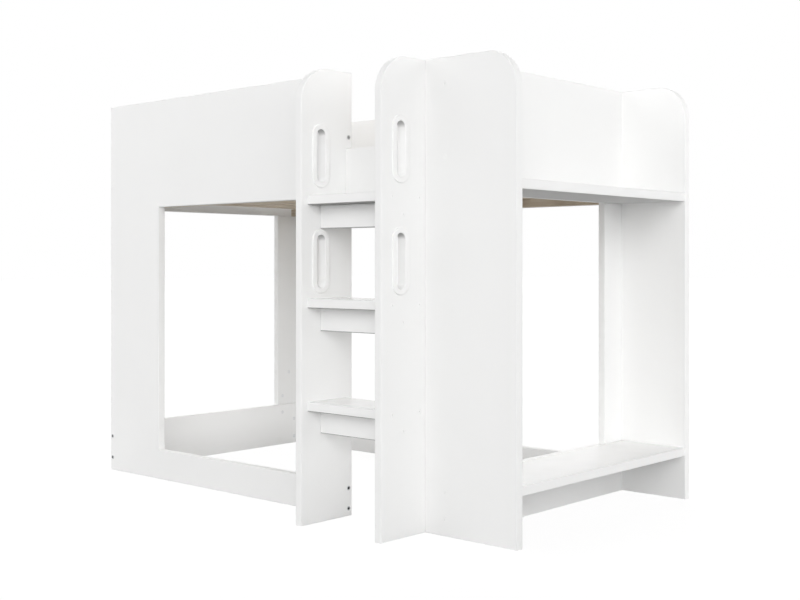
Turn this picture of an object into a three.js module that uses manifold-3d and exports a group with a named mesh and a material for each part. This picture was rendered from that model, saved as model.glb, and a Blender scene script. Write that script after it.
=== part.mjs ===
// A child's loft bed of painted boards, with a ladder in front and a bookcase at its right end.
// Millimetres, +X to the right seen from the front, +Y to the back, +Z up.
// The origin is on the floor, under the middle of the whole bed.
import * as THREE from "three";
import { mergeVertices } from "three/addons/utils/BufferGeometryUtils.js";
import Module from "manifold-3d";

const wasm = await Module();
wasm.setup();

// Boards
const boardThickness = 22;
const shelfThickness = 24;
const arrisRadius = 2;
const cornerRadius = 90;

// Whole bed
const clearHeight = 826.5;
const guardHeight = 323.5;
const innerLength = 1426;
const innerWidth = 706;

// Long sides
const longRailHeight = 88;
const longPostWidth = 264;
const cornerPanelWidth = 291;

// End frames
const endRailHeight = 144;
const endPostWidth = 85;

// Bookcase at the right end
const bookcaseDepth = 213;
const shelfSetback = 2;

// Ladder
const entryWidth = 264;
const stringerProjection = 145;
const treadSetback = 20;
const treadRailSetback = 41;
const treadRailHeight = 59;
const stepRise = 258.5;
const topStepDrop = 1;
const entryRailHeight = 125.5;

// Hand holes with moulded grips
const gripCentreSetback = 62;
const handHoleWidth = 27;
const gripFlangeWidth = 14;
const gripFlangeHeight = 4;
const gripSleeveWall = 3;
const gripUnderRail = 1;
const gripOverTread = 12.5;
const upperGripShare = 0.311;
const gripClearance = 0.3;

// Slatted deck
const battenSize = 25;
const slatWidth = 70;
const slatThickness = 18;
const slatEndGap = 2;
const slatCount = 11;

// Joint bolts
const boltHeadRadius = 6;
const boltHeadHeight = 2.5;
const boltShankRadius = 3;
const boltGrip = 30;
const boltSocketRadius = 4;
const smallSocketRadius = 2;
const boltSocketDepth = 2;
const boltClearance = 0.3;

// Where the bolts stand along the board that takes their thread
const panelBoltShares = [0.26, 0.8];
const rightRailBoltShares = [0.28, 0.74];
const leftRailBoltShares = [0.275, 0.74];
const leftPanelBoltShare = 0.24;
const longRailBoltShares = [0.22, 0.82];
const stringerBoltShare = 0.48;
const treadBoltShares = [0.13, 0.85];

// How finely curves are cut
const cornerSteps = 8;
const gripSteps = 7;
const arrisSteps = 2;
const boltSides = 16;
const socketSides = 6;
const overrun = 5;

// Places that follow from the sizes above
const bedHeight = clearHeight + guardHeight;
const bedLength = 2 * boardThickness + innerLength + bookcaseDepth;
const frontDepth = stringerProjection;
const backDepth = 2 * boardThickness + innerWidth;
const rightFrameX = boardThickness + innerLength;
const cornerPanelX = bedLength - cornerPanelWidth;
const rightStringerX = cornerPanelX - boardThickness;
const leftStringerX = rightStringerX - entryWidth - boardThickness;
const entryX = leftStringerX + boardThickness;
const backY = boardThickness + innerWidth;
const treadDepth = stringerProjection - treadSetback;
const treadRailY = treadRailSetback - treadDepth;
const gripY = gripCentreSetback - stringerProjection;
const stepGap = stepRise - shelfThickness - treadRailHeight;
const gripLength = stepGap - gripUnderRail - gripOverTread;
const gripWidth = handHoleWidth + 2 * gripFlangeWidth;
const handHoleLength = gripLength - 2 * gripFlangeWidth;
const sleeveWidth = handHoleWidth + 2 * gripSleeveWall;
const sleeveLength = handHoleLength + 2 * gripSleeveWall;
const topStep = clearHeight - topStepDrop;
const stepTops = [topStep - 2 * stepRise, topStep - stepRise, topStep];
const lowerGripZ = stepTops[1] + gripOverTread + gripLength / 2;
const upperGripZ = clearHeight + upperGripShare * guardHeight;
const deckZ = clearHeight + battenSize;

const along = {
  x: new THREE.Vector3(1, 0, 0),
  y: new THREE.Vector3(0, 1, 0),
  z: new THREE.Vector3(0, 0, 1),
};

// Turns a flat outline so that it stands facing front, stands facing the side, or lies flat
const facings = {
  front: new THREE.Matrix4().makeBasis(along.x, along.z, along.y.clone().negate()),
  side: new THREE.Matrix4().makeBasis(along.y, along.z, along.x),
  flat: new THREE.Matrix4(),
};

const bed = new THREE.Group();
bed.position.set(-bedLength / 2, (frontDepth - backDepth) / 2, 0);

const paint = { color: 0xf1f1ef, roughness: 0.45, metalness: 0 };
const mouldedPlastic = { color: 0xf4f4f3, roughness: 0.4, metalness: 0 };
const pine = { color: 0xd9b98c, roughness: 0.7, metalness: 0 };
const zincPlate = { color: 0xb9babc, roughness: 0.4, metalness: 0.8 };
const whiteEnamel = { color: 0xf7f7f6, roughness: 0.35, metalness: 0 };

function addMesh(name, geometry, finish, place) {
  geometry.computeVertexNormals();
  const mesh = new THREE.Mesh(geometry, new THREE.MeshStandardMaterial(finish));
  mesh.name = name;
  mesh.position.copy(place);
  bed.add(mesh);
  return mesh;
}

// Solids for cutting and joining
function toSolid(geometry) {
  const bare = geometry.clone();
  bare.deleteAttribute("normal");
  bare.deleteAttribute("uv");
  const merged = mergeVertices(bare);
  return new wasm.Manifold(new wasm.Mesh({
    numProp: 3,
    vertProperties: new Float32Array(merged.attributes.position.array),
    triVerts: new Uint32Array(merged.index.array),
  }));
}

function toGeometry(solid) {
  const mesh = solid.getMesh();
  const geometry = new THREE.BufferGeometry();
  geometry.setAttribute("position", new THREE.BufferAttribute(new Float32Array(mesh.vertProperties), 3));
  geometry.setIndex(new THREE.BufferAttribute(new Uint32Array(mesh.triVerts), 1));
  return geometry.toNonIndexed();
}

// Outlines
function rectangle(width, height) {
  const outline = new THREE.Shape();
  outline.moveTo(0, 0);
  outline.lineTo(width, 0);
  outline.lineTo(width, height);
  outline.lineTo(0, height);
  outline.closePath();
  return outline;
}

function roundedRightPanel(width, height) {
  const outline = new THREE.Shape();
  outline.moveTo(0, 0);
  outline.lineTo(width, 0);
  outline.lineTo(width, height - cornerRadius);
  outline.absarc(width - cornerRadius, height - cornerRadius, cornerRadius, 0, Math.PI / 2);
  outline.lineTo(0, height);
  outline.closePath();
  return outline;
}

// A post at the left with a guard above and a rail below it, open to the right
function longPanel(width) {
  const outline = new THREE.Shape();
  outline.moveTo(0, 0);
  outline.lineTo(width, 0);
  outline.lineTo(width, longRailHeight);
  outline.lineTo(longPostWidth, longRailHeight);
  outline.lineTo(longPostWidth, clearHeight);
  outline.lineTo(width, clearHeight);
  outline.lineTo(width, bedHeight);
  outline.lineTo(0, bedHeight);
  outline.closePath();
  return outline;
}

// A slot with half-round ends, upright, about the point given
function addSlot(path, x, y, width, length) {
  const radius = width / 2;
  const rise = length / 2 - radius;
  path.moveTo(x + radius, y - rise);
  path.absarc(x, y + rise, radius, 0, Math.PI);
  path.absarc(x, y - rise, radius, Math.PI, 2 * Math.PI);
  path.closePath();
  return path;
}

function stringerOutline() {
  const depth = stringerProjection + boardThickness;
  const outline = new THREE.Shape();
  outline.moveTo(0, 0);
  outline.lineTo(depth, 0);
  outline.lineTo(depth, bedHeight);
  outline.lineTo(cornerRadius, bedHeight);
  outline.absarc(cornerRadius, bedHeight - cornerRadius, cornerRadius, Math.PI / 2, Math.PI);
  outline.closePath();
  const width = sleeveWidth + 2 * gripClearance;
  const length = sleeveLength + 2 * gripClearance;
  for (const height of [lowerGripZ, upperGripZ]) {
    outline.holes.push(addSlot(new THREE.Path(), gripCentreSetback, height, width, length));
  }
  return outline;
}

// A board cut to an outline, with its edges eased all round
function boardGeometry(outline, thickness, facing, steps = cornerSteps) {
  const geometry = new THREE.ExtrudeGeometry(outline, {
    depth: thickness - 2 * arrisRadius,
    bevelThickness: arrisRadius,
    bevelSize: arrisRadius,
    bevelOffset: -arrisRadius,
    bevelSegments: arrisSteps,
    curveSegments: steps,
  });
  geometry.translate(0, 0, arrisRadius);
  geometry.applyMatrix4(facings[facing]);
  if (facing === "front") geometry.translate(0, thickness, 0);
  return geometry;
}

// Joint bolts: each has its place on the face of a board, and the way its head looks
const bolts = [];
const bareHead = { finish: zincPlate, socketRadius: boltSocketRadius };
const whiteHead = { finish: whiteEnamel, socketRadius: smallSocketRadius };

function boltTurn(looks) {
  return new THREE.Quaternion().setFromUnitVectors(along.z, looks);
}

function planBolt(name, head, x, y, z, looks) {
  bolts.push({ name, head, place: new THREE.Vector3(x, y, z), looks });
}

function planBolts() {
  const left = boardThickness / 2;
  const right = rightFrameX + boardThickness / 2;
  const forward = along.y.clone().negate();
  const heights = panelBoltShares.map((share) => clearHeight + share * guardHeight);
  const leftHeight = clearHeight + leftPanelBoltShare * guardHeight;
  const stringerHeight = clearHeight + stringerBoltShare * guardHeight;
  planBolt("front_right_bolt_1", whiteHead, right, 0, rightRailBoltShares[0] * endRailHeight, forward);
  planBolt("front_right_bolt_2", whiteHead, right, 0, rightRailBoltShares[1] * endRailHeight, forward);
  planBolt("front_right_bolt_3", whiteHead, right, 0, heights[0], forward);
  planBolt("front_right_bolt_4", whiteHead, right, 0, heights[1], forward);
  planBolt("front_left_bolt_1", bareHead, left, 0, leftRailBoltShares[0] * endRailHeight, forward);
  planBolt("front_left_bolt_2", bareHead, left, 0, leftRailBoltShares[1] * endRailHeight, forward);
  planBolt("front_left_bolt_3", whiteHead, left, 0, leftHeight, forward);
  const middle = boardThickness / 2;
  planBolt("stringer_bolt_1", bareHead, entryX, middle, longRailBoltShares[0] * longRailHeight, along.x);
  planBolt("stringer_bolt_2", bareHead, entryX, middle, longRailBoltShares[1] * longRailHeight, along.x);
  planBolt("stringer_bolt_3", bareHead, entryX, middle, stringerHeight, along.x);
  const railY = treadRailY + boardThickness / 2;
  stepTops.forEach((top, index) => {
    const treadZ = top - shelfThickness / 2;
    const railZ = top - shelfThickness - treadRailHeight / 2;
    const frontY = (treadBoltShares[0] - 1) * treadDepth;
    const rearY = (treadBoltShares[1] - 1) * treadDepth;
    planBolt(`step_${index + 1}_front_bolt`, whiteHead, cornerPanelX, frontY, treadZ, along.x);
    planBolt(`step_${index + 1}_rear_bolt`, whiteHead, cornerPanelX, rearY, treadZ, along.x);
    planBolt(`step_${index + 1}_rail_bolt`, whiteHead, cornerPanelX, railY, railZ, along.x);
  });
}

function rod(radius, sides, from, to) {
  const geometry = new THREE.CylinderGeometry(radius, radius, to - from, sides);
  geometry.rotateX(Math.PI / 2);
  geometry.translate(0, 0, (from + to) / 2);
  return geometry;
}

// The hole that a bolt needs in every board that it passes
function boltHole(bolt, boardPlace) {
  const seat = -boltHeadHeight - boltClearance;
  const end = -boardThickness - boltGrip - boltClearance;
  const recess = rod(boltHeadRadius + boltClearance, boltSides, seat, overrun);
  const shaft = rod(boltShankRadius + boltClearance, boltSides, end, 0);
  const parts = [recess, shaft].map((part) => {
    part.applyQuaternion(boltTurn(bolt.looks));
    part.translate(bolt.place.x - boardPlace.x, bolt.place.y - boardPlace.y, bolt.place.z - boardPlace.z);
    return toSolid(part);
  });
  return parts[0].add(parts[1]);
}

function drill(geometry, boardPlace, names) {
  let solid = toSolid(geometry);
  for (const bolt of bolts.filter((one) => names.some((name) => one.name.startsWith(name)))) {
    solid = solid.subtract(boltHole(bolt, boardPlace));
  }
  return toGeometry(solid);
}

function boltGeometry(socketRadius) {
  const head = rod(boltHeadRadius, boltSides, -boltHeadHeight, 0);
  const shank = rod(boltShankRadius, boltSides, -boardThickness - boltGrip, -boltHeadHeight / 2);
  const socket = rod(socketRadius, socketSides, -boltSocketDepth, overrun);
  return toGeometry(toSolid(head).add(toSolid(shank)).subtract(toSolid(socket)));
}

function addBolts() {
  for (const bolt of bolts) {
    const geometry = boltGeometry(bolt.head.socketRadius);
    const mesh = addMesh(bolt.name, geometry, bolt.head.finish, bolt.place);
    mesh.quaternion.copy(boltTurn(bolt.looks));
  }
}

// Boards, placed by their low left front corner
function addBoard(name, outline, thickness, facing, x, y, z, boltNames = []) {
  const place = new THREE.Vector3(x, y, z);
  const plain = boardGeometry(outline, thickness, facing);
  const geometry = boltNames.length ? drill(plain, place, boltNames) : plain;
  addMesh(name, geometry, paint, place);
}

function addLongSides() {
  const thick = boardThickness;
  const cornerPanel = () => roundedRightPanel(cornerPanelWidth, bedHeight);
  addBoard("front_panel", longPanel(leftStringerX), thick, "front", 0, 0, 0, ["front_left", "stringer"]);
  addBoard("front_right_panel", cornerPanel(), thick, "front", cornerPanelX, 0, 0, ["front_right"]);
  addBoard("back_panel", longPanel(cornerPanelX), thick, "front", 0, backY, 0);
  addBoard("back_right_panel", cornerPanel(), thick, "front", cornerPanelX, backY, 0);
}

function addEndFrame(side, x, boltNames) {
  const thick = boardThickness;
  const rail = rectangle(innerWidth, endRailHeight);
  const panel = rectangle(innerWidth, guardHeight);
  const post = () => rectangle(endPostWidth, clearHeight - endRailHeight);
  addBoard(`${side}_end_rail`, rail, thick, "side", x, thick, 0, boltNames);
  addBoard(`${side}_end_panel`, panel, thick, "side", x, thick, clearHeight, boltNames);
  addBoard(`${side}_front_post`, post(), thick, "side", x, thick, endRailHeight);
  addBoard(`${side}_rear_post`, post(), thick, "side", x, backY - endPostWidth, endRailHeight);
}

function addBookcase() {
  const x = rightFrameX + boardThickness;
  const depth = bookcaseDepth - shelfSetback;
  const shelf = () => rectangle(depth, innerWidth);
  addBoard("lower_shelf", shelf(), shelfThickness, "flat", x, boardThickness, endRailHeight - shelfThickness);
  addBoard("upper_shelf", shelf(), shelfThickness, "flat", x, boardThickness, clearHeight);
}

function addLadder() {
  const thick = boardThickness;
  const stringerY = -stringerProjection;
  addBoard("left_stringer", stringerOutline(), thick, "side", leftStringerX, stringerY, 0, ["stringer"]);
  addBoard("right_stringer", stringerOutline(), thick, "side", rightStringerX, stringerY, 0, ["step"]);
  const steps = ["lower", "middle", "upper"];
  steps.forEach((step, index) => {
    const under = stepTops[index] - shelfThickness;
    const railZ = under - treadRailHeight;
    const tread = rectangle(entryWidth, treadDepth);
    const rail = rectangle(entryWidth, treadRailHeight);
    const stepBolts = [`step_${index + 1}`];
    addBoard(`${step}_tread`, tread, shelfThickness, "flat", entryX, -treadDepth, under, stepBolts);
    addBoard(`${step}_tread_rail`, rail, thick, "front", entryX, treadRailY, railZ, stepBolts);
  });
  const entryRail = rectangle(entryWidth, entryRailHeight);
  addBoard("entry_rail", entryRail, thick, "front", entryX, 0, clearHeight);
}

// A grip: a sleeve through the board and a rounded flange on its outer face
function gripGeometry() {
  const handHole = () => addSlot(new THREE.Path(), 0, 0, handHoleWidth, handHoleLength);
  const flangeOutline = addSlot(new THREE.Shape(), 0, 0, gripWidth, gripLength);
  flangeOutline.holes.push(handHole());
  const flangeWhole = boardGeometry(flangeOutline, 2 * gripFlangeHeight, "side", gripSteps);
  const cutter = new THREE.BoxGeometry(gripFlangeHeight + overrun, gripWidth + overrun, gripLength + overrun);
  cutter.translate((gripFlangeHeight - overrun) / 2, 0, 0);
  const flange = toSolid(flangeWhole).subtract(toSolid(cutter));
  const sleeveOutline = addSlot(new THREE.Shape(), 0, 0, sleeveWidth, sleeveLength);
  sleeveOutline.holes.push(handHole());
  const sleeve = new THREE.ExtrudeGeometry(sleeveOutline, {
    depth: boardThickness + gripFlangeHeight / 2,
    bevelEnabled: false,
    curveSegments: gripSteps,
  });
  sleeve.applyMatrix4(facings.side);
  sleeve.translate(gripFlangeHeight - boardThickness, 0, 0);
  return toGeometry(flange.add(toSolid(sleeve)));
}

function addGrips() {
  const faces = { left: entryX, right: cornerPanelX };
  for (const [side, x] of Object.entries(faces)) {
    const face = x - gripFlangeHeight;
    addMesh(`${side}_lower_grip`, gripGeometry(), mouldedPlastic, new THREE.Vector3(face, gripY, lowerGripZ));
    addMesh(`${side}_upper_grip`, gripGeometry(), mouldedPlastic, new THREE.Vector3(face, gripY, upperGripZ));
  }
}

function addDeck() {
  const start = boardThickness;
  const batten = boardGeometry(rectangle(innerLength, battenSize), battenSize, "front");
  addMesh("front_batten", batten, pine, new THREE.Vector3(start, start, clearHeight));
  addMesh("rear_batten", batten.clone(), pine, new THREE.Vector3(start, backY - battenSize, clearHeight));
  const pitch = innerLength / slatCount;
  const slatLength = innerWidth - 2 * slatEndGap;
  for (let index = 0; index < slatCount; index += 1) {
    const slat = boardGeometry(rectangle(slatWidth, slatLength), slatThickness, "flat");
    const x = start + (index + 0.5) * pitch - slatWidth / 2;
    const name = `slat_${String(index + 1).padStart(2, "0")}`;
    addMesh(name, slat, pine, new THREE.Vector3(x, start + slatEndGap, deckZ));
  }
}

planBolts();
addLongSides();
addEndFrame("left", 0, ["front_left"]);
addEndFrame("right", rightFrameX, ["front_right"]);
addBookcase();
addLadder();
addGrips();
addDeck();
addBolts();

export default bed;
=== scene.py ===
import math

import bpy
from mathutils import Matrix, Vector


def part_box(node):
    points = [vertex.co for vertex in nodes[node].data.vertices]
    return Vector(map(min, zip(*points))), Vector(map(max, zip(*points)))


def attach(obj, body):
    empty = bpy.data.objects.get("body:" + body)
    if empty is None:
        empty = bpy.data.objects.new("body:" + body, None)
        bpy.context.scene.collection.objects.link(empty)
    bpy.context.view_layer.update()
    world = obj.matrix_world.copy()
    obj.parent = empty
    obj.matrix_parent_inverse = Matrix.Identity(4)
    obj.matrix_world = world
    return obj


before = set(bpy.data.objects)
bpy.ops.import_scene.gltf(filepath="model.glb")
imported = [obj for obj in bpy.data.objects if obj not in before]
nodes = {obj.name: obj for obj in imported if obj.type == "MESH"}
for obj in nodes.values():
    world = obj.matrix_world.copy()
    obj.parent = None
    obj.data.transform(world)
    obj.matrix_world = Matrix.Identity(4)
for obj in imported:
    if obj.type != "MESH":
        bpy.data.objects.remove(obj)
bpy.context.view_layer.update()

scene = bpy.context.scene
scene.view_settings.view_transform = "Standard"


# Camera: level, to the right of the bed. The turn and the lens follow from vanishing points that
# were fitted to the photograph's edges, and from a picture centre that was chosen by trial.
CAMERA_PLACE = (2.5233, -2.3124, 0.6554)
CAMERA_TURN = 38.2587
SENSOR_WIDTH = 36.0
LENS = 51.78
LENS_SHIFT = (-0.1875, -0.046)


def make_camera():
    data = bpy.data.cameras.new("camera")
    data.sensor_width = SENSOR_WIDTH
    data.lens = LENS
    data.shift_x, data.shift_y = LENS_SHIFT
    camera = bpy.data.objects.new("camera", data)
    camera.location = CAMERA_PLACE
    camera.rotation_euler = (math.pi / 2, 0, math.radians(CAMERA_TURN))
    scene.collection.objects.link(camera)
    scene.camera = camera


make_camera()


# Helpers for shader nodes. Scales are per metre, heights of bumps in metres.
# A noise's values lie mostly between these two, so colours and roughness spread over them.
NOISE_LOW = 0.3
NOISE_HIGH = 0.7

# Sockets of the mix node when it mixes colours
MIX_FIRST = 6
MIX_SECOND = 7
MIX_RESULT = 2


def grey(level):
    return (level, level, level, 1.0)


class Tree:
    def __init__(self, owner, output, place):
        owner.use_nodes = True
        self.owner = owner
        self.nodes = owner.node_tree.nodes
        self.links = owner.node_tree.links
        self.nodes.clear()
        self.output = self.nodes.new(output)
        self.place = self.nodes.new("ShaderNodeTexCoord").outputs[place]

    @classmethod
    def of_material(cls, name):
        return cls(bpy.data.materials.new(name), "ShaderNodeOutputMaterial", "Object")

    @classmethod
    def of_world(cls, name):
        scene.world = bpy.data.worlds.new(name)
        return cls(scene.world, "ShaderNodeOutputWorld", "Generated")

    def add(self, kind, **values):
        node = self.nodes.new("ShaderNode" + kind)
        for key, value in values.items():
            if key in node.inputs:
                node.inputs[key].default_value = value
            else:
                setattr(node, key, value)
        return node

    def join(self, source, target):
        self.links.new(source, target)

    def mapped(self, scale):
        node = self.add("Mapping", Scale=scale)
        self.join(self.place, node.inputs["Vector"])
        return node.outputs["Vector"]

    def noise(self, scale, detail, roughness=0.5, distortion=0.0, vector=None):
        node = self.add(
            "TexNoise", Scale=scale, Detail=detail, Roughness=roughness, Distortion=distortion)
        self.join(self.place if vector is None else vector, node.inputs["Vector"])
        return node.outputs["Fac"]

    def range(self, value, low, high, start=0.0, end=1.0):
        node = self.add("MapRange")
        numbers = {"From Min": start, "From Max": end, "To Min": low, "To Max": high}
        for key, number in numbers.items():
            node.inputs[key].default_value = number
        self.join(value, node.inputs["Value"])
        return node.outputs["Result"]

    def uneven(self, noise, low, high):
        return self.range(noise, low, high, NOISE_LOW, NOISE_HIGH)

    def ramp(self, value, stops):
        node = self.add("ValToRGB")
        elements = node.color_ramp.elements
        elements.remove(elements[1])
        elements[0].position, elements[0].color = stops[0][0], (*stops[0][1], 1.0)
        for position, colour in stops[1:]:
            elements.new(position).color = (*colour, 1.0)
        self.join(value, node.inputs["Fac"])
        return node.outputs["Color"]

    def mottle(self, noise, dark, light):
        return self.ramp(noise, [(NOISE_LOW, dark), (NOISE_HIGH, light)])

    def maths(self, operation, a, b=0.0):
        node = self.add("Math", operation=operation)
        for socket, value in zip(node.inputs, (a, b)):
            if isinstance(value, (int, float)):
                socket.default_value = value
            else:
                self.join(value, socket)
        return node.outputs["Value"]

    def multiply(self, first, second):
        node = self.add("Mix", data_type="RGBA", blend_type="MULTIPLY")
        node.inputs["Factor"].default_value = 1.0
        self.join(first, node.inputs[MIX_FIRST])
        self.join(second, node.inputs[MIX_SECOND])
        return node.outputs[MIX_RESULT]

    def bump(self, height, distance, strength, under=None):
        node = self.add("Bump", Distance=distance, Strength=strength)
        self.join(height, node.inputs["Height"])
        if under is not None:
            self.join(under, node.inputs["Normal"])
        return node.outputs["Normal"]

    def choose(self, factor, first, second):
        pick = self.add("MixShader")
        for source, socket in zip((factor, first, second), pick.inputs):
            self.join(source, socket)
        self.join(pick.outputs[0], self.output.inputs["Surface"])

    def surface(self, colour, roughness, normal, gloss=0.5, metallic=0.0):
        shader = self.add("BsdfPrincipled", Metallic=metallic)
        shader.inputs["Specular IOR Level"].default_value = gloss
        self.join(colour, shader.inputs["Base Color"])
        self.join(roughness, shader.inputs["Roughness"])
        self.join(normal, shader.inputs["Normal"])
        self.join(shader.outputs["BSDF"], self.output.inputs["Surface"])
        return self.owner


# Sprayed paint on smooth board: faint cloudiness, fine orange peel over longer waves
def make_paint(name, level, smoothest, roughest, gloss, peel):
    tree = Tree.of_material(name)
    lighter = level + 0.02
    warmth = 0.005
    dark = (level, level, level - warmth)
    light = (lighter, lighter, lighter - warmth)
    colour = tree.mottle(tree.noise(scale=2.5, detail=3.0), dark, light)
    roughness = tree.uneven(tree.noise(scale=12.0, detail=4.0), smoothest, roughest)
    waves = tree.bump(tree.noise(scale=35.0, detail=1.0), distance=0.00008, strength=peel)
    fine = tree.noise(scale=420.0, detail=2.0)
    normal = tree.bump(fine, distance=0.00005, strength=peel, under=waves)
    return tree.surface(colour, roughness, normal, gloss)


# A sleeve's upper end has a darker colour, as this light leaves it paler than in the
# photograph: where that starts and ends, as shares of the grip's height, and how dark it gets
SHADE_START = 0.82
SHADE_END = 0.95
SLEEVE_SHADE = 0.2


# Moulded plastic with a very fine eroded grain
def make_plastic(name, in_sleeve):
    tree = Tree.of_material(name)
    cloud = tree.noise(scale=30.0, detail=2.0)
    colour = tree.mottle(cloud, (0.92, 0.92, 0.915), (0.935, 0.935, 0.93))
    if in_sleeve:
        across = tree.add("SeparateXYZ")
        tree.join(tree.add("TexCoord").outputs["Generated"], across.inputs[0])
        shade = tree.range(across.outputs["Z"], 1.0, SLEEVE_SHADE, SHADE_START, SHADE_END)
        colour = tree.multiply(colour, shade)
    roughness = tree.uneven(tree.noise(scale=60.0, detail=3.0), 0.3, 0.4)
    normal = tree.bump(tree.noise(scale=1600.0, detail=1.0), distance=0.00003, strength=0.5)
    return tree.surface(colour, roughness, normal)


# Planed pine, with its grain along X or along Y
def make_pine(name, along_x):
    tree = Tree.of_material(name)

    def stretched(along, across):
        return tree.mapped((along, across, across) if along_x else (across, along, across))

    rings = tree.noise(
        scale=1.0, detail=3.0, roughness=0.55, distortion=1.2, vector=stretched(1.2, 26.0))
    rings_per_noise = 9.0
    bands = tree.maths("PINGPONG", tree.maths("MULTIPLY", rings, rings_per_noise), 1.0)
    colour = tree.ramp(bands, [
        (0.0, (0.5, 0.41, 0.305)),
        (0.45, (0.57, 0.485, 0.38)),
        (1.0, (0.605, 0.525, 0.425)),
    ])
    roughness = tree.range(bands, 0.55, 0.7)
    pores = tree.noise(scale=1.0, detail=2.0, vector=stretched(8.0, 420.0))
    normal = tree.bump(pores, distance=0.0002, strength=0.6)
    return tree.surface(colour, roughness, normal, gloss=0.3)


# Zinc plate with fine cloudy crystals
def make_zinc(name, level):
    tree = Tree.of_material(name)
    crystals = tree.noise(scale=700.0, detail=3.0, roughness=0.6, distortion=0.6)
    lighter = level + 0.15
    dark = (level, level + 0.01, level + 0.02)
    light = (lighter, lighter + 0.01, lighter + 0.02)
    colour = tree.mottle(crystals, dark, light)
    roughness = tree.range(crystals, 0.28, 0.45)
    normal = tree.bump(crystals, distance=0.00003, strength=0.5)
    return tree.surface(colour, roughness, normal, metallic=1.0)


# White enamel of the bolt heads
def make_enamel():
    tree = Tree.of_material("white_enamel")
    cloud = tree.noise(scale=90.0, detail=2.0)
    colour = tree.mottle(cloud, (0.93, 0.93, 0.925), (0.95, 0.95, 0.945))
    roughness = tree.uneven(tree.noise(scale=200.0, detail=2.0), 0.25, 0.38)
    normal = tree.bump(tree.noise(scale=900.0, detail=1.0), distance=0.00003, strength=0.4)
    return tree.surface(colour, roughness, normal)


# Painted shade inside a bolt's socket or a nut's slot, with patches up to twice as light
def make_socket_shade(name, level):
    tree = Tree.of_material(name)
    patches = tree.noise(scale=900.0, detail=2.0)
    colour = tree.mottle(patches, (level,) * 3, (2 * level,) * 3)
    roughness = tree.range(patches, 0.6, 0.85)
    normal = tree.bump(patches, distance=0.00005, strength=0.5)
    return tree.surface(colour, roughness, normal)


SATIN = {"smoothest": 0.58, "roughest": 0.66, "gloss": 0.2, "peel": 0.5}
SMOOTH = {"smoothest": 0.14, "roughest": 0.2, "gloss": 0.45, "peel": 0.1}
DULL = {"smoothest": 0.85, "roughest": 0.95, "gloss": 0.0, "peel": 0.8}
paint = make_paint("white_paint", 0.905, **SATIN)
# Painted light: a lighter copy of the paint for boards that this light leaves too dark
lit_board_paint = make_paint("white_lit_board_paint", 0.95, **SATIN)
# Painted light on shelf and tread tops, painted shade on their edges and undersides
lit_top_paint = make_paint("white_lit_top_paint", 0.955, **SMOOTH)
edge_shade_paint = make_paint("white_edge_shade_paint", 0.87, **SATIN)
under_shade_paint = make_paint("dark_under_shade_paint", 0.69, **DULL)
tread_shadow_paint = make_paint("dark_tread_shadow_paint", 0.4, **DULL)
plastic = make_plastic("white_plastic", in_sleeve=False)
sleeve_plastic = make_plastic("sleeve_plastic", in_sleeve=True)
pine_x = make_pine("pine_along_x", along_x=True)
pine_y = make_pine("pine_along_y", along_x=False)
zinc = make_zinc("zinc_plate", 0.55)
bright_zinc = make_zinc("bright_zinc_plate", 0.74)
enamel = make_enamel()
dark_socket_shade = make_socket_shade("dark_socket_shade", 0.02)
grey_socket_shade = make_socket_shade("grey_socket_shade", 0.2)
pale_slot_shade = make_socket_shade("pale_slot_shade", 0.3)


# Rounded edges shade round, corners stay crisp
MERGE_DISTANCE = 0.00001
CREASE_ANGLE = math.radians(50)


def make_smoothing():
    group = bpy.data.node_groups.new("round_edges", "GeometryNodeTree")
    for direction in ("INPUT", "OUTPUT"):
        group.interface.new_socket(
            "Geometry", in_out=direction, socket_type="NodeSocketGeometry")
    start = group.nodes.new("NodeGroupInput")
    end = group.nodes.new("NodeGroupOutput")
    merge = group.nodes.new("GeometryNodeMergeByDistance")
    merge.inputs["Distance"].default_value = MERGE_DISTANCE
    smooth = group.nodes.new("GeometryNodeSetShadeSmooth")
    smooth.domain = "FACE"
    crease = group.nodes.new("GeometryNodeSetShadeSmooth")
    crease.domain = "EDGE"
    crease.inputs["Shade Smooth"].default_value = False
    angle = group.nodes.new("GeometryNodeInputMeshEdgeAngle")
    sharp = group.nodes.new("FunctionNodeCompare")
    sharp.data_type = "FLOAT"
    sharp.operation = "GREATER_THAN"
    sharp.inputs[1].default_value = CREASE_ANGLE
    link = group.links.new
    link(start.outputs[0], merge.inputs["Geometry"])
    link(merge.outputs["Geometry"], smooth.inputs["Geometry"])
    link(smooth.outputs["Geometry"], crease.inputs["Geometry"])
    link(angle.outputs["Unsigned Angle"], sharp.inputs[0])
    link(sharp.outputs["Result"], crease.inputs["Selection"])
    link(crease.outputs["Geometry"], end.inputs[0])
    return group


smoothing = make_smoothing()


def smooth_edges(piece):
    piece.modifiers.new("round_edges", "NODES").node_group = smoothing
    weighted = piece.modifiers.new("weighted_normals", "WEIGHTED_NORMAL")
    weighted.mode = "FACE_AREA"
    weighted.weight = 100
    weighted.keep_sharp = True


def dress(piece, *materials):
    piece.data.materials.clear()
    for material in materials:
        piece.data.materials.append(material)
    smooth_edges(piece)


# A bolt looks along -Y or +X. The faces inside its socket, which lie between these depths and
# within this radius, have a material of their own, which on the bare bolts is painted shade.
SOCKET_START = 0.0002
SOCKET_END = 0.0022
SOCKET_RADIUS = 0.0045


def dress_bolt(piece, head, socket):
    low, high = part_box(piece.name)
    middle = (low + high) / 2
    looks_front = (high - low).y > (high - low).x
    dress(piece, head, socket)
    for face in piece.data.polygons:
        centre = face.center
        depth = centre.y - low.y if looks_front else high.x - centre.x
        aside = centre.x - middle.x if looks_front else centre.y - middle.y
        side = math.hypot(aside, centre.z - middle.z)
        inside = SOCKET_START < depth < SOCKET_END and side < SOCKET_RADIUS
        face.material_index = 1 if inside else 0


# The walls of a grip's sleeve face its middle line, a stadium across the board
WALL_TILT = 0.3


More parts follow.
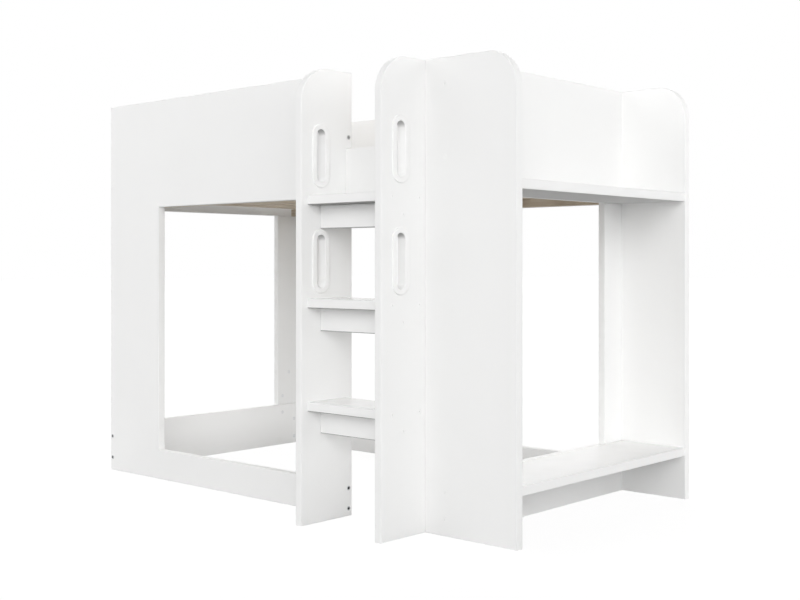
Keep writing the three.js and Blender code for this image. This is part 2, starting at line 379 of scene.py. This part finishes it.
def dress_grip(piece):
    low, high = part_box(piece.name)
    middle = (low + high) / 2
    half = (high.y - low.y) / 2
    dress(piece, plastic, sleeve_plastic)
    for face in piece.data.polygons:
        centre, normal = face.center, face.normal
        line_z = min(max(centre.z, low.z + half), high.z - half)
        inward = normal.y * (middle.y - centre.y) + normal.z * (line_z - centre.z)
        face.material_index = 1 if abs(normal.x) < WALL_TILT and inward > 0 else 0


# How far up the normals of a shelf's top, upper edges, lower edges and underside point
TOP = 0.98
UPPER_EDGE = 0.02
LOWER_EDGE = -0.02
UNDERSIDE = -0.9999


# Shelves and treads are smoother on top, and the lighter paint of their tops is painted light.
# Their upper edges are a little darker, painted shade, as they come out too bright otherwise.
# Their undersides, the treads' lower edges and those of the rails under them have darker paints,
# painted shade, as this light leaves the shadows there paler than in the photograph. The lower
# shelf's underside isn't seen, and stays light for the boards below.
def dress_shelf(piece):
    under = {"lower_shelf": paint, "upper_tread": tread_shadow_paint}.get(piece.name, under_shade_paint)
    low_edge = tread_shadow_paint if piece.name.endswith("tread") else paint
    dress(piece, paint, lit_top_paint, edge_shade_paint, low_edge, under)
    for face in piece.data.polygons:
        up = face.normal.z
        if up > UPPER_EDGE:
            face.material_index = 1 if up > TOP else 2
        elif up < LOWER_EDGE:
            face.material_index = 3 if up > UNDERSIDE else 4


# The rails' lower edges have the darker paint, painted shade under the treads
def dress_tread_rail(piece):
    dress(piece, paint, tread_shadow_paint)
    for face in piece.data.polygons:
        face.material_index = 1 if UNDERSIDE < face.normal.z < LOWER_EDGE else 0


# Boards that this light leaves darker than in the photograph, which get a lighter paint as
# painted light, and bolts with bare zinc heads
PAINTED_LIGHT_BOARDS = ("left_end_rail", "right_end_rail", "right_rear_post", "back_right_panel")
BARE_BOLTS = ("front_left_bolt_1", "front_left_bolt_2", "stringer_bolt_1", "stringer_bolt_2")
for name, piece in nodes.items():
    if name in BARE_BOLTS:
        dress_bolt(piece, zinc, dark_socket_shade)
    elif name == "stringer_bolt_3":
        dress_bolt(piece, zinc, grey_socket_shade)
    elif "bolt" in name:
        dress_bolt(piece, enamel, enamel)
    elif name.endswith("grip"):
        dress_grip(piece)
    elif name.startswith("slat"):
        dress(piece, pine_y)
    elif name.endswith("batten"):
        dress(piece, pine_x)
    elif name.endswith(("shelf", "tread")):
        dress_shelf(piece)
    elif name.endswith("tread_rail"):
        dress_tread_rail(piece)
    else:
        dress(piece, lit_board_paint if name in PAINTED_LIGHT_BOARDS else paint)


# Barrel nuts of the left end frame's joints, let into the boards from inside: a slotted round
# face. Each place is a distance back from the front panel's front face and a height.
NUT_RADIUS = 0.006
NUT_BEVEL = 0.0004
NUT_PROUD = 0.0003
NUT_SUNK = 0.001
SLOT_HALF = 0.0007
SLOT_DEPTH = 0.0005
SLOT_FLOOR_FACE = 5
ARC_STEPS = 9
NUT_PLACES = [(0.664, 0.175), (0.664, 0.116), (0.717, 0.088), (0.717, 0.024), (0.693, 0.2595)]


def make_nut(name, x, y, z):
    radius = NUT_RADIUS - NUT_BEVEL
    start = math.asin(SLOT_HALF / radius)
    arc = [start + (math.pi - 2 * start) * step / ARC_STEPS for step in range(ARC_STEPS + 1)]
    turns = arc + [angle + math.pi for angle in arc]
    count = len(turns)
    half = count // 2

    def ring(depth, size):
        return [
            (x + depth, y + size * math.cos(turn), z + size * math.sin(turn)) for turn in turns]

    # Three rings, of the top, the rim and the back, then the four corners of the slot's floor
    points = ring(NUT_PROUD, radius)
    corners = [points[index] for index in (0, half - 1, half, count - 1)]
    points += ring(NUT_PROUD - NUT_BEVEL, NUT_RADIUS) + ring(-NUT_SUNK, NUT_RADIUS)
    points += [(x + NUT_PROUD - SLOT_DEPTH, corner[1], corner[2]) for corner in corners]
    a, b, c, d = range(3 * count, 3 * count + 4)

    # Both halves of the top, the back, the slot's two walls and its floor
    faces = [
        tuple(range(half)),
        tuple(range(half, count)),
        tuple(reversed(range(2 * count, 3 * count))),
        (a, 0, half - 1, b),
        (c, half, count - 1, d),
        (a, b, c, d),
    ]
    for index in range(count):
        after = (index + 1) % count
        if index in (half - 1, count - 1):
            first, second = (b, c) if index == half - 1 else (d, a)
            faces.append((index, count + index, first))
            faces.append((first, count + index, count + after, second))
            faces.append((second, count + after, after))
        else:
            faces.append((index, count + index, count + after, after))
        faces.append((count + index, 2 * count + index, 2 * count + after, count + after))
    mesh = bpy.data.meshes.new(name)
    mesh.from_pydata(points, [], faces)
    nut = bpy.data.objects.new(name, mesh)
    scene.collection.objects.link(nut)
    dress(nut, bright_zinc, pale_slot_shade)
    # The slot's floor gets the darker material, painted shade
    mesh.polygons[SLOT_FLOOR_FACE].material_index = 1
    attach(nut, "root")


left_end_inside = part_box("left_end_rail")[1].x
front_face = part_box("front_panel")[0].y
for index, (back, height) in enumerate(NUT_PLACES, 1):
    make_nut("left_end_nut_%d" % index, left_end_inside, front_face + back, height)


# Floor: white to the camera, with the bed's faint shadow, and dull to the light that bounces.
# FLOOR_LIGHT is the light that falls on the open floor.
FLOOR_REACH = 40.0
FLOOR_SHADE = 0.12
FLOOR_LIGHT = 0.6
FLOOR_BOUNCE = 0.5


def seen_directly(tree):
    path = tree.add("LightPath")
    return tree.maths("MAXIMUM", path.outputs["Is Camera Ray"], path.outputs["Is Glossy Ray"])


def make_floor():
    mesh = bpy.data.meshes.new("floor")
    signs = [(-1, -1), (1, -1), (1, 1), (-1, 1)]
    corners = [(FLOOR_REACH * along, FLOOR_REACH * back, 0) for along, back in signs]
    mesh.from_pydata(corners, [], [(0, 1, 2, 3)])
    floor = bpy.data.objects.new("floor", mesh)
    scene.collection.objects.link(floor)
    tree = Tree.of_material("floor")
    shown = tree.add("AddShader")
    tree.join(tree.add("BsdfDiffuse", Color=grey(FLOOR_SHADE)).outputs[0], shown.inputs[0])
    glow = tree.add("Emission", Color=grey(1.0), Strength=1.0 - FLOOR_SHADE * FLOOR_LIGHT)
    tree.join(glow.outputs[0], shown.inputs[1])
    dull = tree.add("BsdfDiffuse", Color=grey(FLOOR_BOUNCE))
    tree.choose(seen_directly(tree), dull.outputs[0], shown.outputs[0])
    mesh.materials.append(tree.owner)


# Sky: white to the camera. It lights the bed from two soft bands, one at the horizon and one
# above it, whose levels change around the bed, and a little from everywhere.
SKY_LEVEL = 0.02
# Middle and reach of each band, as sines of the height above the horizon, and its levels from
# the front by way of the right end, the back and the left end, an eighth of a turn apart. The
# levels weren't chosen by hand: another script fitted them to the photograph's tones by least
# squares, and they were then scaled a little and rounded.
BANDS = [
    (0.0, 0.5, [1.7, 4.2, 2.2, 2.9, 0.0, 0.0, 0.0, 1.7]),
    (0.45, 0.35, [0.0, 4.1, 0.0, 1.6, 0.0, 8.8, 0.0, 2.6]),
]


def make_sky():
    tree = Tree.of_world("studio")
    way = tree.add("SeparateXYZ")
    tree.join(tree.place, way.inputs[0])
    x, y, z = way.outputs
    around = tree.maths("ARCTAN2", x, tree.maths("MULTIPLY", y, -1.0))
    turns = tree.maths("ADD", tree.maths("DIVIDE", around, math.tau), 1.0)
    turn = tree.maths("FRACT", turns)
    total = SKY_LEVEL
    for middle, reach, levels in BANDS:
        peak = max(levels)
        shares = [level / peak for level in (*levels, levels[0])]
        stops = [(index / len(levels), (share,) * 3) for index, share in enumerate(shares)]
        ring = tree.maths("MULTIPLY", tree.ramp(turn, stops), peak)
        distance = tree.maths("ABSOLUTE", tree.maths("SUBTRACT", z, middle))
        fade = tree.maths("SUBTRACT", 1.0, tree.maths("DIVIDE", distance, reach))
        hump = tree.maths("MAXIMUM", fade, 0.0)
        total = tree.maths("ADD", total, tree.maths("MULTIPLY", ring, hump))
    soft = tree.add("Background", Color=grey(1.0))
    tree.join(total, soft.inputs["Strength"])
    white = tree.add("Background", Color=grey(1.0), Strength=1.0)
    tree.choose(seen_directly(tree), soft.outputs[0], white.outputs[0])


make_floor()
make_sky()
